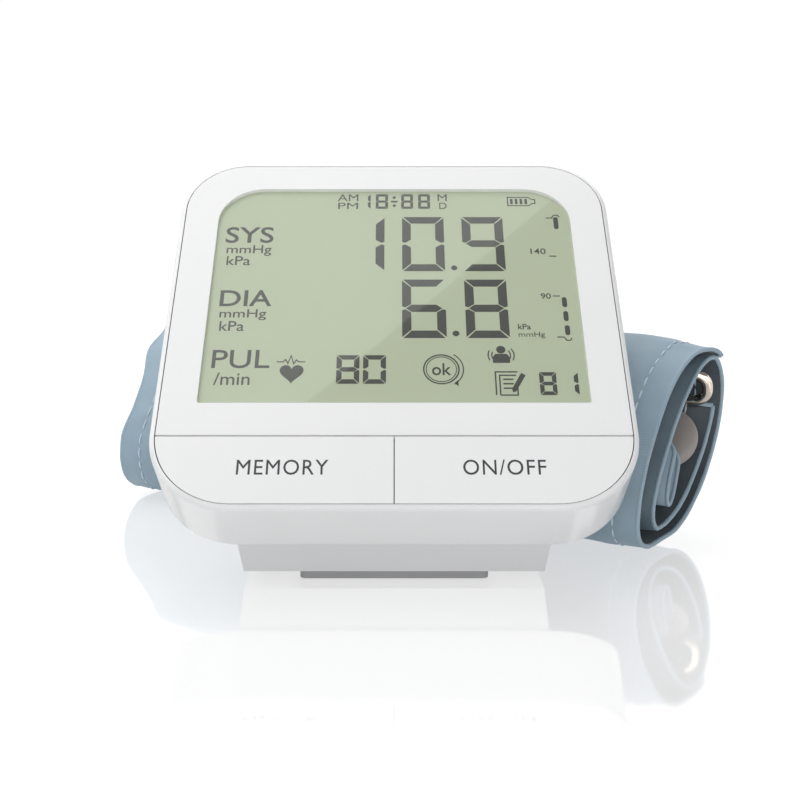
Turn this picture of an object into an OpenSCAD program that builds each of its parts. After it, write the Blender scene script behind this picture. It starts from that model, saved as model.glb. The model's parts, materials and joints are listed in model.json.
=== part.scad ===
// Upper arm blood pressure monitor: tilted display console with its rolled arm cuff behind it.
// Frame: +Z up, the display looks towards -Y, +X to the right, millimetres.
// The origin is the middle of the front foot's resting face.

/* [Console face] */
// Width of the white face plate
face_w = 112; // [106:1:120]
// Length of the face plate up the slope
face_h = 106; // [102:1:112]
// Slope of the face above the horizontal, degrees
tilt = 46; // [44:0.5:48]
// Thickness of the face slab
slab_t = 17.5; // [17:0.5:19]
// Corner radius at the top of the face
corner_top = 16; // [12:1:20]
// Corner radius at the bottom of the face
corner_bottom = 19; // [15:1:22]
// Width of the housing rim around the face
rim = 1.3; // [1:0.1:1.8]
// Height of the key row
key_row = 18.1; // [16:0.1:20]

/* [Display] */
// Width of the display window
window_w = 94; // [88:1:98]
// Height of the display window
window_h = 70; // [64:1:71]
// Distance from the bottom of the face to the window
window_y = 27.3; // [25:0.1:29]
// Corner radius at the top of the window
window_r = 12; // [8:1:14]

/* [Keys] */
// How far a key goes in
key_travel = 0.6; // [0.3:0.1:0.8]
// Gap around the keys and the face plate
gap = 0.25; // [0.2:0.05:0.4]

/* [Pedestal] */
// Width of the pedestal under the slab
ped_w = 75; // [75:1:80]
// Y of the pedestal's back wall
ped_back = 27; // [26:0.5:28]
// Radius of the pedestal's rear corners
ped_r = 16; // [12:1:17]
// Width of the front foot strip
foot_w = 46; // [40:1:52]
// Depth of the front foot strip
foot_d = 6; // [5:0.5:7]
// Height of all the feet
foot_t = 2; // [1.5:0.1:2.5]

/* [Cuff] */
// Width of the cuff band
cuff_w = 164; // [150:1:176]
// Half thickness of the rolled cuff
roll_a = 21; // [20:0.5:22]
// Half height of the rolled cuff
roll_b = 32; // [31:0.5:33]
// Backward lean of the roll, degrees
roll_lean = 35; // [32:1:38]
// Turn of the roll about the vertical, degrees
roll_yaw = 22; // [20:0.5:24]
// Thickness of the cuff band
band_t = 3.4; // [3.2:0.1:3.6]

/* [Hidden] */
$fn = 64;
face_y = -21;
face_z = 23.7;
wall = 2;
ledge = 1.6;
plate_t = 2;
key_t = 3;
rim_round = 1.2;
lens_t = 1.2;
film_t = 0.12;
lens_lip = 2.4;
glass_t = 2.2;
board_z = -8.2;
board_t = 1.2;
key_board_z = -10.6;
switch_h = 1.8;
main_w = 86;
back_plate_t = 2;
ped_front_top = [face_y + slab_t * sin(tilt), face_z - slab_t * cos(tilt)];
ped_front_low = ped_front_top[0] + 4.8;
slope = tan(tilt);
ped_top_z = ped_front_top[1] + (ped_back - ped_front_top[0]) * slope;
ped_low_w = ped_w - 2;
screw_at = [[face_w / 2 - 9, 9], [face_w / 2 - 6.6, face_h - 11.8]];
door_w = 58;
door_y = foot_d / 2 + 1.4;
door_t = 1.6;
pack_size = [50, 19, 6];
pump_r = 12;
pump_y = 12.4;
pump_z = 25;
pump_x0 = -14;
head_l = 19;
motor_l = 22;
jack_pos = [-ped_w / 2, 9, 17.4];
dc_pos = [ped_w / 2, 9, 17];
valve_pos = [-31.5, 15.4, 33.2];
valve_l = 15;
valve_h = 11;
spout_y = pump_y - 5.4;
bore_r = 2.6;
bore_l = 10;
key_x = face_w / 4;
key_post_r = 1.6;
switch_y = key_row / 2;
cuff_x = -1.2;
cuff_y = 64;
skin_t = 1;
bladder_gap = band_t - 2 * skin_t;
pitch = band_t + 0.4;
roll_zero = 40;
roll_start = 76;
roll_end = 760;
roll_step = 12;
loose = 5;
loose_back = 1.8;
cuff_z = 0.05 - min([for (p = turn_points(roll_start, roll_start + 360, 0)) p[1]]);
ring_r = 1.5;
ring_len = 183;
ring_span = 8;
ring_bar = [5.7, 15.4];
ring_dir = [-0.8, 0.6];
sleeve_r = 2.4;
flap_w = 160;
flap_line = [[3.2, 15], [-1.6, 13], [-4.3, 8.8], [-5.3, 1.6], [-5.6, -6], [-4.8, -11.8],
  [-2.6, -15.7], [0.5, -15.9], [1.9, -12.4], [1.3, -6.9], [-0.3, 0.2], [-1.9, 6.4], [-0.6, 11.2],
  [3, 13.6]];
flap_hollow = [[-3, 6.4], [-3.9, 1.4], [-4.2, -6], [-3.4, -11.2], [-1.8, -14.3], [-0.1, -14.5],
  [0.5, -12], [-0.1, -7.1], [-1.7, -0.2]];
port_r = 9;
port_t = 4.6;
port_at = [4.2, 2.6];

// Puts its children in the frame of the tilted face: x right, y up the slope, z out of the face
module on_face() {
  translate([0, face_y, face_z])
    rotate([tilt, 0, 0])
      children();
}

// Rounded outline standing on y = 0, with its own radii at the top and the bottom
module outline(w, h, r_top, r_low) {
  translate([-w / 2, r_low]) square([w, h - r_low - r_top]);
  translate([-w / 2 + r_low, 0]) square([w - 2 * r_low, r_low + 0.01]);
  translate([-w / 2 + r_top, h - r_top - 0.01]) square([w - 2 * r_top, r_top + 0.01]);
  for (side = [-1, 1]) {
    translate([side * (w / 2 - r_low), r_low]) circle(r_low);
    translate([side * (w / 2 - r_top), h - r_top]) circle(r_top);
  }
}

// Slab from z = -t to 0 whose front edge is rounded all round
module soft_slab(w, h, r_top, r_low, t, f) {
  translate([0, 0, -t]) linear_extrude(t - f) outline(w, h, r_top, r_low);
  translate([0, f, -f - 0.01])
    linear_extrude(f + 0.01)
      outline(w - 2 * f, h - 2 * f, r_top - f, r_low - f);
  translate([-w / 2 + r_low, f, -f]) rotate([0, 90, 0]) cylinder(r = f, h = w - 2 * r_low);
  translate([-w / 2 + r_top, h - f, -f]) rotate([0, 90, 0]) cylinder(r = f, h = w - 2 * r_top);
  for (side = [-1, 1])
    translate([side * (w / 2 - f), r_low, -f])
      rotate([-90, 0, 0])
        cylinder(r = f, h = h - r_low - r_top);
  for (turn = [0, 90])
    translate([turn == 0 ? w / 2 - r_top : -w / 2 + r_top, h - r_top, -f])
      rotate([0, 0, turn])
        rotate_extrude(angle = 90) translate([r_top - f, 0]) circle(f);
  for (turn = [180, 270])
    translate([turn == 270 ? w / 2 - r_low : -w / 2 + r_low, r_low, -f])
      rotate([0, 0, turn])
        rotate_extrude(angle = 90) translate([r_low - f, 0]) circle(f);
}

// Plain rounded rectangle centred on the origin
module rounded(w, d, r) {
  square([w - 2 * r, d], center = true);
  square([w, d - 2 * r], center = true);
  for (sx = [-1, 1], sy = [-1, 1])
    translate([sx * (w / 2 - r), sy * (d / 2 - r)]) circle(r);
}

// Open case wall of the slab with the ledge that carries the face plate and the key deck
module front_housing() color("white") on_face() {
  difference() {
    translate([0, -rim, 0])
      soft_slab(face_w + 2 * rim, face_h + 2 * rim, corner_top + rim, corner_bottom + rim,
        slab_t, rim_round);
    translate([0, 0, -plate_t - 0.02])
      linear_extrude(plate_t + 1)
        outline(face_w, face_h, corner_top, corner_bottom);
    translate([0, 0, -key_t - 1])
      linear_extrude(key_t + 1)
        intersection() {
          outline(face_w, face_h, corner_top, corner_bottom);
          translate([-face_w / 2, 0]) square([face_w, key_row + 0.4]);
        }
    translate([0, ledge, -slab_t - 1])
      linear_extrude(slab_t)
        outline(face_w - 2 * ledge, face_h - 2 * ledge, corner_top - ledge, corner_bottom - ledge);
  }
  key_deck();
  for (sx = [-1, 1], p = screw_at) screw_post(sx * p[0], p[1]);
  for (sx = [-1, 1]) key_board_post(sx * 12, 5);
}

// Shelf under the keys, bored for the key stems
module key_deck() {
  difference() {
    translate([0, 0, -key_t - 1 - 1.6])
      linear_extrude(1.6)
        intersection() {
          translate([0, ledge / 2])
            outline(face_w - ledge, face_h - ledge, corner_top, corner_bottom - ledge / 2);
          translate([-face_w / 2, 0]) square([face_w, key_row + 0.6]);
        }
    for (sx = [-1, 1])
      translate([sx * key_x, switch_y, -10]) cylinder(r = key_post_r + 0.25, h = 10);
    for (sx = [-1, 1])
      translate([sx * screw_at[0][0], screw_at[0][1], -10]) cylinder(r = 2, h = 10);
  }
}

// Boss that takes a housing screw from behind
module screw_post(x, y) {
  z_low = -slab_t + back_plate_t + 0.2;
  difference() {
    translate([x, y, z_low]) cylinder(r = 2.6, h = -key_t - 1.2 - z_low);
    translate([x, y, z_low - 1]) cylinder(r = 1.25, h = 10);
  }
  if (y > face_h / 2)
    translate([x > 0 ? x + 2 : x - 6, y - 0.8, z_low + 1]) cube([4, 1.6, 6]);
}

// Post with a locating pin that carries the key board
module key_board_post(x, y) {
  top = key_board_z + board_t + 0.05;
  translate([x, y, top]) cylinder(r = 2.3, h = -key_t - 1.4 - top);
  translate([x, y, key_board_z - 0.4]) cylinder(r = 1.2, h = 3);
}

// Post on the back of the face plate that carries the main board
module board_post(x, y) {
  z_low = board_z + board_t + 0.05;
  difference() {
    translate([x, y, z_low]) cylinder(r = 2.2, h = -plate_t + 0.3 - z_low);
    translate([x, y, z_low - 1]) cylinder(r = 0.9, h = 4);
  }
}

// White plate around the display, from the key row to the top of the face
module face_plate() color("white") on_face() {
  difference() {
    translate([0, gap, -plate_t])
      linear_extrude(plate_t)
        intersection() {
          translate([0, 0])
            outline(face_w - 2 * gap, face_h - 2 * gap, corner_top - gap, corner_bottom - gap);
          translate([-face_w / 2, key_row]) square([face_w, face_h]);
        }
    translate([0, window_y, -lens_t])
      linear_extrude(lens_t + 1)
        outline(window_w, window_h, window_r, 0.6);
    translate([0, window_y + lens_lip, -plate_t - 1])
      linear_extrude(plate_t + 2)
        outline(window_w - 2 * lens_lip, window_h - 2 * lens_lip, window_r - lens_lip, 0.6);
  }
  for (sx = [-1, 1], y = [window_y - 4.2, face_h - 4.3]) board_post(sx * 35, y);
}

// Clear window set flush in the face plate
module display_window() color("lightgrey") on_face() {
  translate([0, window_y + 0.1, -lens_t + film_t + 0.08])
    linear_extrude(lens_t - film_t - 0.08)
      outline(window_w - 0.2, window_h - 0.2, window_r - 0.1, 0.5);
}

// Tinted polariser film bonded behind the window
module polariser_film() color("darkkhaki") on_face() {
  translate([0, window_y + 0.1, -lens_t + 0.02])
    linear_extrude(film_t)
      outline(window_w - 0.2, window_h - 0.2, window_r - 0.1, 0.5);
}

lcd_w = window_w - 4;
lcd_h = window_h - 3.4;
lcd_y = window_y + 1.7;
lcd_top = -plate_t - 0.15;

// Liquid crystal cell behind the window
module lcd_glass() color("darkseagreen") on_face() {
  translate([-lcd_w / 2, lcd_y, lcd_top - glass_t]) cube([lcd_w, lcd_h, glass_t]);
}

// Reflector film under the liquid crystal cell
module lcd_reflector() color("silver") on_face() {
  translate([-lcd_w / 2 + 1, lcd_y + 4, lcd_top - glass_t - 0.35])
    cube([lcd_w - 2, lcd_h - 8, 0.3]);
}

// Frame that holds the liquid crystal cell against the face plate
module lcd_carrier() color("dimgrey") on_face() {
  depth = lcd_top - board_z - board_t - 0.15;
  difference() {
    translate([-lcd_w / 2 - 1.4, lcd_y - 1.2, lcd_top - depth])
      cube([lcd_w + 2.8, lcd_h + 2.4, depth]);
    translate([-lcd_w / 2 - 0.15, lcd_y - 0.15, lcd_top - glass_t - 0.4])
      cube([lcd_w + 0.3, lcd_h + 0.3, depth]);
    translate([-lcd_w / 2 + 1, lcd_y + 4.6, lcd_top - depth - 1])
      cube([lcd_w - 2, lcd_h - 9.2, depth]);
    for (y = [lcd_y + 0.5, lcd_y + lcd_h - 3.5])
      translate([-lcd_w / 2 + 2, y, lcd_top - depth - 1]) cube([lcd_w - 4, 3, depth + 2]);
  }
}

// Elastomer strips that join the liquid crystal cell to the board
module zebra_strips() color("pink") on_face() {
  top = lcd_top - glass_t - 0.05;
  for (y = [lcd_y + 0.7, lcd_y + lcd_h - 3.3])
    translate([-lcd_w / 2 + 2.4, y, board_z + board_t + 0.05])
      cube([lcd_w - 4.8, 2.6, top - board_z - board_t - 0.05]);
}

// One half of the key row; side is -1 for the left key and 1 for the right key
module key_body(side) {
  intersection() {
    translate([0, gap, -key_t])
      linear_extrude(key_t)
        outline(face_w - 2 * gap, face_h - 2 * gap, corner_top - gap, corner_bottom - gap);
    translate([side > 0 ? gap / 2 : -face_w / 2, 0, -key_t - 1])
      cube([face_w / 2 - gap / 2, key_row - gap, key_t + 2]);
  }
  translate([side * key_x, switch_y, -key_t - 2.9]) cylinder(r = key_post_r, h = 3);
}

module memory_key() color("white") on_face() key_body(-1);

module on_off_key() color("white") on_face() key_body(1);

// Tactile switch under a key
module switch_body(side) {
  difference() {
    translate([side * key_x - 3, switch_y - 3, key_board_z + board_t + 0.02])
      cube([6, 6, switch_h]);
    translate([side * key_x, switch_y, key_board_z + board_t + 0.4]) cylinder(r = 1.3, h = 3);
  }
}

module memory_switch() color("black") on_face() switch_body(-1);

module on_off_switch() color("black") on_face() switch_body(1);

// Moving button of a tactile switch
module switch_plunger(side) {
  low = key_board_z + board_t + 0.4 + key_travel + 0.05;
  translate([side * key_x, switch_y, low]) cylinder(r = 1.05, h = -key_t - 2.95 - low);
}

module memory_plunger() color("grey") on_face() switch_plunger(-1);

module on_off_plunger() color("grey") on_face() switch_plunger(1);

// Narrow board that carries the two switches
module key_board() color("darkgreen") on_face() {
  difference() {
    translate([-35, 2.6, key_board_z]) cube([70, 14, board_t]);
    for (sx = [-1, 1]) translate([sx * 12, 5, key_board_z - 1]) cylinder(r = 1.3, h = 4);
  }
}

// Main circuit board behind the display
module main_board() color("darkgreen") on_face() {
  difference() {
    translate([-main_w / 2, window_y - 6.6, board_z])
      cube([main_w, face_h - window_y + 4.2, board_t]);
    for (sx = [-1, 1], y = [window_y - 4.2, face_h - 4.3])
      translate([sx * 35, y, board_z - 1]) cylinder(r = 1.25, h = 4);
  }
}

// Screws that hold the main board to its posts
module board_screws() color("silver") on_face() {
  for (sx = [-1, 1], y = [window_y - 4.2, face_h - 4.3]) {
    translate([sx * 35, y, board_z - 1.3]) cylinder(r = 1.9, h = 1.28);
    translate([sx * 35, y, board_z - 0.1]) cylinder(r = 0.85, h = 3.8);
  }
}

module processor() color("black") on_face() {
  translate([18, 74, board_z - 1.42]) cube([12, 12, 1.4]);
}

// Pressure sensor with its hose nozzle, on the back of the main board
module pressure_sensor() color("black") on_face() {
  difference() {
    union() {
      translate([-30, 62, board_z - 3.52]) cube([9, 9, 3.5]);
      translate([-25.5, 58.6, board_z - 1.9]) rotate([-90, 0, 0]) cylinder(r = 1.4, h = 4);
    }
    translate([-25.5, 58, board_z - 1.9]) rotate([-90, 0, 0]) cylinder(r = 0.6, h = 9);
  }
}

module buzzer() color("black") on_face() {
  difference() {
    translate([4, 82, board_z - 3.52]) cylinder(r = 6, h = 3.5);
    translate([4, 82, board_z - 4]) cylinder(r = 1, h = 2);
  }
}

// Flat cable from the key board to the main board
module board_cable() color("ivory") on_face() {
  step = board_z - key_board_z;
  translate([-6, 12, key_board_z - 0.42]) cube([12, 6.4, 0.4]);
  translate([-6, 18, key_board_z - 0.42]) cube([12, 0.4, step + 0.4]);
  translate([-6, 18, board_z - 0.42]) cube([12, 8, 0.4]);
}

// Side profile of the pedestal, moved in by a margin
module ped_profile(m, over) {
  polygon([
    [ped_front_top[0] + m * 1.05, ped_front_top[1] + over],
    [ped_front_low + m * 1.1, foot_t + m],
    [ped_back + 1, foot_t + m],
    [ped_back + 1, ped_top_z + slope - m * 0.6 + over],
    [ped_front_top[0] + m * 1.05, ped_front_top[1] + over]]);
}

// Pedestal volume under the slab: sloped front, tapering flanks and rounded rear corners
module ped_solid(m, over) {
  intersection() {
    translate([-ped_w, 0, 0])
      rotate([90, 0, 90])
        linear_extrude(2 * ped_w)
          ped_profile(m, over);
    translate([0, ped_back + 40, 0])
      rotate([90, 0, 0])
        linear_extrude(80)
          polygon([[-ped_low_w / 2 + m, foot_t - 1], [ped_low_w / 2 - m, foot_t - 1],
            [ped_w / 2 - m, ped_front_top[1]], [ped_w / 2 - m, 90], [-ped_w / 2 + m, 90],
            [-ped_w / 2 + m, ped_front_top[1]]]);
    linear_extrude(100)
      translate([0, -20])
        outline(ped_w + 1 - 2 * m, ped_back + 20 - m, ped_r - m, 1);
  }
}

// Back plate of the slab together with the pedestal that stands on the table
module rear_housing() color("gainsboro") {
  difference() {
    union() {
      on_face()
        translate([0, ledge + 0.2, -slab_t])
          linear_extrude(back_plate_t)
            outline(face_w - 2 * ledge - 0.4, face_h - 2 * ledge - 0.4,
              corner_top - ledge - 0.2, corner_bottom - ledge - 0.2);
      difference() {
        ped_solid(0, 1);
        on_face() translate([-70, -20, -slab_t]) cube([140, 160, 60]);
      }
    }
    difference() {
      ped_solid(wall, 30);
      bay_roof();
      on_face() translate([-70, -20, -slab_t + back_plate_t + 1]) cube([140, 160, 60]);
      on_face() translate([-70, -20, -slab_t - 0.2]) cube([140, 21.5 + ledge, 30]);
      on_face() translate([-70, 49, -slab_t - 0.2]) cube([140, 100, 30]);
    }
    battery_bay();
    on_face() for (sx = [-1, 1], p = screw_at) {
      translate([sx * p[0], p[1], -slab_t - 1]) cylinder(r = 1.5, h = 5);
      translate([sx * p[0], p[1], -slab_t - 1]) cylinder(r = 2.9, h = 2);
    }
    translate([jack_pos[0] - 1, jack_pos[1], jack_pos[2]])
      rotate([0, 90, 0]) cylinder(r = 5.15, h = 6);
    translate([dc_pos[0] - 5, dc_pos[1] - 4.6, dc_pos[2] - 3.6]) cube([8, 9.2, 7.2]);
  }
}

// Roof over the battery bay
module bay_roof() {
  translate([-pack_size[0] / 2 - 3.2, door_y, foot_t])
    cube([pack_size[0] + 6.4, 40, door_t + pack_size[2] + 2.2]);
}

// Empty space of the battery bay and of the door's seat
module battery_bay() {
  translate([-pack_size[0] / 2 - 2, door_y + 1.2, foot_t - 1])
    cube([pack_size[0] + 4, pack_size[1] + 0.8, door_t + pack_size[2] + 2]);
  translate([-door_w / 2 - 0.2, door_y - 0.2, foot_t - 1])
    cube([door_w + 0.4, 40, door_t + 1.15]);
}

// Battery door in the floor of the pedestal; it slides out to the back
module battery_door() color("gainsboro") {
  difference() {
    intersection() {
      translate([-door_w / 2, door_y, foot_t]) cube([door_w, ped_back - door_y, door_t]);
      linear_extrude(20) translate([0, -20]) outline(ped_w + 1, ped_back + 20, ped_r, 1);
    }
    for (i = [0 : 3])
      translate([-8, door_y + 3 + 2.2 * i, foot_t - 0.6]) cube([16, 1, 1]);
  }
}

// Rechargeable battery pack
module battery_pack() color("royalblue") {
  translate([0, door_y + 1.6 + pack_size[1] / 2, foot_t + door_t + 0.4])
    linear_extrude(pack_size[2])
      rounded(pack_size[0], pack_size[1], 2);
}

// Spring blades that touch the battery pack
module battery_contacts() color("gold") {
  for (i = [-1, 0, 1])
    translate([-pack_size[0] / 2 - 1.8, door_y + 11 + 3.4 * i, foot_t + door_t + 1.6])
      cube([1.6, 1.6, 3.4]);
}

// Charging socket in the right flank
module charging_socket() color("silver") {
  difference() {
    translate([dc_pos[0] - 9, dc_pos[1] - 4.4, dc_pos[2] - 3.4]) cube([8.6, 8.8, 6.8]);
    translate([dc_pos[0] - 7.4, dc_pos[1] - 3.6, dc_pos[2] - 1.3]) cube([10, 7.2, 2.6]);
  }
}

// Screws that close the two halves of the case
module housing_screws() color("silver") on_face() {
  for (sx = [-1, 1], p = screw_at) {
    translate([sx * p[0], p[1], -slab_t + 0.05]) {
      difference() {
        cylinder(r = 2.6, h = 0.9);
        translate([-1.6, -0.3, -1]) cube([3.2, 0.6, 1.5]);
        translate([-0.3, -1.6, -1]) cube([0.6, 3.2, 1.5]);
      }
      cylinder(r = 1.2, h = 8);
    }
  }
}

// Rubber foot strip under the front of the pedestal
module front_foot() color("dimgrey") {
  linear_extrude(foot_t - 0.01) rounded(foot_w, foot_d, 1.6);
}

module rear_feet() color("dimgrey") {
  for (sx = [-1, 1]) translate([sx * 32.2, 12, 0]) cylinder(r = 2.6, h = foot_t - 0.01);
}

// Steel can of the pump motor
module motor_can() color("silver") {
  translate([pump_x0 + head_l + 0.05, pump_y, pump_z])
    rotate([0, 90, 0])
      difference() {
        cylinder(r = pump_r - 0.6, h = motor_l);
        translate([0, 0, 1.2]) cylinder(r = pump_r - 2.4, h = motor_l - 2.4);
        translate([0, 0, -1]) cylinder(r = 1.3, h = 4);
      }
}

// Motor shaft with its armature and the eccentric that drives the diaphragms
module motor_rotor() color("chocolate") {
  translate([pump_x0, pump_y, pump_z])
    rotate([0, 90, 0]) {
      translate([0, 0, head_l + 3]) cylinder(r = pump_r - 4, h = motor_l - 6);
      translate([0, 0, 8]) cylinder(r = 1, h = head_l - 3);
      translate([1.6, 0, 7]) cylinder(r = 4.4, h = 4);
    }
}

// Diaphragm pump head with its outlet spout
module pump_head() color("black") {
  difference() {
    translate([pump_x0, pump_y, pump_z]) rotate([0, 90, 0]) cylinder(r = pump_r, h = head_l);
    translate([pump_x0 + 5, pump_y, pump_z]) rotate([0, 90, 0]) cylinder(r = 8, h = 8);
    translate([pump_x0 + 5, pump_y, pump_z]) rotate([0, 90, 0]) cylinder(r = 1.6, h = 20);
  }
  translate([pump_x0 - 3.6, spout_y, pump_z + 6]) rotate([0, 90, 0]) cylinder(r = 1.3, h = 4);
}

// Cradle between the pump and the roof of the battery bay
module pump_cradle() color("dimgrey") {
  difference() {
    translate([pump_x0 + 3, pump_y - 9, foot_t + door_t + pack_size[2] + 2.3])
      cube([12, 18, 8]);
    translate([pump_x0 - 1, pump_y, pump_z]) rotate([0, 90, 0]) cylinder(r = pump_r + 0.02, h = 60);
  }
}

// Body of the exhaust valve
module valve_body() color("white") {
  translate([valve_pos[0], valve_pos[1] - valve_h / 2, valve_pos[2] - valve_h / 2])
    difference() {
      cube([valve_l, valve_h, valve_h]);
      translate([2, valve_h / 2, valve_h / 2]) rotate([0, 90, 0]) cylinder(r = 2.9, h = 20);
    }
}

// Plunger that opens the exhaust port
module valve_plunger() color("silver") {
  translate([valve_pos[0] + 3.4, valve_pos[1], valve_pos[2]])
    rotate([0, 90, 0]) {
      cylinder(r = 2.5, h = 10.6);
      cylinder(r = 1.2, h = 13.2);
    }
}

// Branch piece that joins pump, valve, sensor and socket
module air_manifold() color("white") {
  translate([-26, 7.9, 25.4]) {
    translate([-3, -2.6, -2.2]) cube([12, 5.2, 4.4]);
    translate([-3, 0, 0]) rotate([0, -90, 0]) cylinder(r = 1.3, h = 3);
  }
}

// Short silicone tubes between the air parts
module air_tubes() color("ivory") {
  tube_x = pump_x0 - 3.4;
  translate([tube_x, spout_y, pump_z + 6])
    rotate([0, 90, 0])
      difference() {
        cylinder(r = 2.3, h = 3.2);
        translate([0, 0, -1]) cylinder(r = 1.35, h = 6);
      }
  translate([-32.2, 7.9, 25.4])
    rotate([0, 90, 0])
      difference() {
        cylinder(r = 2.2, h = 3);
        translate([0, 0, -1]) cylinder(r = 1.35, h = 6);
      }
}

// Socket for the cuff's air plug in the left flank
module air_socket() color("grey") {
  translate([jack_pos[0] - 0.6, jack_pos[1], jack_pos[2]])
    rotate([0, 90, 0])
      difference() {
        union() {
          cylinder(r = 5, h = 11.6);
          translate([0, 0, 3.2]) cylinder(r = 6.2, h = 1.6);
          cylinder(r = 6.2, h = 0.5);
        }
        translate([0, 0, -1]) cylinder(r = bore_r, h = bore_l + 1);
        translate([0, 0, 6]) cylinder(r = bore_r + 1, h = 1.6);
        translate([0, 0, 1]) cylinder(r = 1, h = 12);
      }
}

// Sealing ring inside the air socket
module socket_seal() color("black") {
  translate([jack_pos[0] + 6.2, jack_pos[1], jack_pos[2]])
    rotate([0, 90, 0])
      rotate_extrude() translate([bore_r + 0.42, 0]) circle(0.4, $fn = 32);
}

// Puts its children in the frame of the roll: x along it, y to its back, z up
module on_roll() {
  translate([cuff_x, cuff_y, cuff_z])
    rotate([0, 0, -roll_yaw])
      children();
}

// Point of the roll's cross-section at angle a, at a depth below the outer face
function sag(a) = a < 440 ? 0 : a < 632 ? loose * max(0, -cos(a)) : loose_back * max(0, cos(a));
function inset(a, depth) = depth + pitch * (a - roll_zero) / 360 + sag(a);
function oval(a, depth) = [(roll_a - inset(a, depth)) * cos(a), (roll_b - inset(a, depth)) * sin(a)];
function lean(p) = [p[0] * cos(roll_lean) + p[1] * sin(roll_lean),
  p[1] * cos(roll_lean) - p[0] * sin(roll_lean)];
function turn_points(a0, a1, depth) = [for (a = [a0 : roll_step : a1]) lean(oval(a, depth))];
function back(v) = [for (i = [len(v) - 1 : -1 : 0]) v[i]];

// Length of band from angle a0 to a1, between two depths, width w
module band(a0, a1, depth0, depth1, w) {
  translate([-w / 2, 0, 0])
    rotate([90, 0, 90])
      linear_extrude(w)
        polygon(concat(turn_points(a0, a1, depth0), back(turn_points(a0, a1, depth1))));
}

// Outer fabric of the cuff
module cuff_outer_cover() color("slategrey") on_roll()
  band(roll_start, roll_end, 0, skin_t, cuff_w);

// Inner fabric of the cuff with the pocket for the bladder
module cuff_inner_cover() color("lightslategrey") on_roll() {
  difference() {
    band(roll_start, roll_end, skin_t, band_t, cuff_w);
    band(roll_start + 192, roll_end - 120, skin_t + 0.1, skin_t + bladder_gap, cuff_w - 20);
  }
}

// Inflatable bladder inside the pocket
module air_bladder() color("darkslategrey") on_roll()
  band(roll_start + 204, roll_end - 132, skin_t + 0.2, skin_t + bladder_gap - 0.1, cuff_w - 24);

// Hook tape sewn on the outer end of the cuff
module hook_patch() color("dimgrey") on_roll()
  band(roll_start, roll_start + 36, -0.9, 0, cuff_w - 84);

// Closing flap: a folded loop of the cuff's fabric that hangs beside the ring
module closing_flap() color("lightsteelblue") on_roll()
  translate([-flap_w / 2, 0, 0])
    rotate([90, 0, 90])
      linear_extrude(flap_w)
        difference() {
          polygon([for (p = flap_line) lean(p)]);
          polygon([for (p = flap_hollow) lean(p)]);
        }

ring_at = lean(ring_bar);
ring_back = lean([ring_dir[0], ring_dir[1]]);

// Fabric tunnel that holds the metal ring
module ring_sleeve() color("slategrey") on_roll() {
  translate([-cuff_w / 2 + 4, ring_at[0], ring_at[1]])
    rotate([0, 90, 0])
      difference() {
        cylinder(r = sleeve_r, h = cuff_w - 8);
        translate([0, 0, -1]) cylinder(r = ring_r + 0.35, h = cuff_w);
      }
}

// Metal ring that the free end of the cuff passes through
module d_ring() color("silver") on_roll() {
  bend = 3.4;
  straight = ring_len - 2 * bend - 2 * ring_r;
  tilt_ring = atan2(ring_back[1], ring_back[0]);
  translate([0, ring_at[0], ring_at[1]])
    rotate([tilt_ring, 0, 0]) {
      for (y = [0, ring_span])
        translate([-straight / 2, y, 0]) rotate([0, 90, 0]) cylinder(r = ring_r, h = straight);
      for (sx = [-1, 1])
        translate([sx * (straight / 2 + bend), bend, 0])
          rotate([-90, 0, 0]) cylinder(r = ring_r, h = ring_span - 2 * bend);
      translate([straight / 2, bend, 0])
        rotate([0, 0, -90]) rotate_extrude(angle = 90) translate([bend, 0]) circle(ring_r);
      translate([straight / 2, ring_span - bend, 0])
        rotate_extrude(angle = 90) translate([bend, 0]) circle(ring_r);
      translate([-straight / 2, ring_span - bend, 0])
        rotate([0, 0, 90]) rotate_extrude(angle = 90) translate([bend, 0]) circle(ring_r);
      translate([-straight / 2, bend, 0])
        rotate([0, 0, 180]) rotate_extrude(angle = 90) translate([bend, 0]) circle(ring_r);
    }
}

// Moulded air port on the inner face of the cuff
module cuff_air_port() color("dimgrey") on_roll() {
  at = lean(port_at);
  translate([cuff_w / 2 - 2, at[0], at[1]])
    rotate([-roll_lean, 0, 0]) {
      rotate([90, 0, 0])
        translate([0, 0, -port_t / 2])
          cylinder(r = port_r, h = port_t);
      translate([-24, -port_t / 2, -4]) cube([18, port_t, 8]);
    }
}

front_housing();
face_plate();
display_window();
polariser_film();
lcd_glass();
lcd_reflector();
lcd_carrier();
zebra_strips();
memory_key();
on_off_key();
memory_switch();
on_off_switch();
memory_plunger();
on_off_plunger();
key_board();
main_board();
board_screws();
processor();
pressure_sensor();
buzzer();
board_cable();
rear_housing();
housing_screws();
front_foot();
rear_feet();
battery_door();
battery_pack();
battery_contacts();
charging_socket();
motor_can();
motor_rotor();
pump_head();
pump_cradle();
valve_body();
valve_plunger();
air_manifold();
air_tubes();
air_socket();
socket_seal();
cuff_outer_cover();
cuff_inner_cover();
air_bladder();
hook_patch();
closing_flap();
ring_sleeve();
d_ring();
cuff_air_port();
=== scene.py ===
"""Looks of an upper arm blood pressure monitor: tilted display console and its rolled arm cuff."""
import json
import math
import random

import bpy
import bmesh
from mathutils import Matrix, Vector, noise


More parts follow.
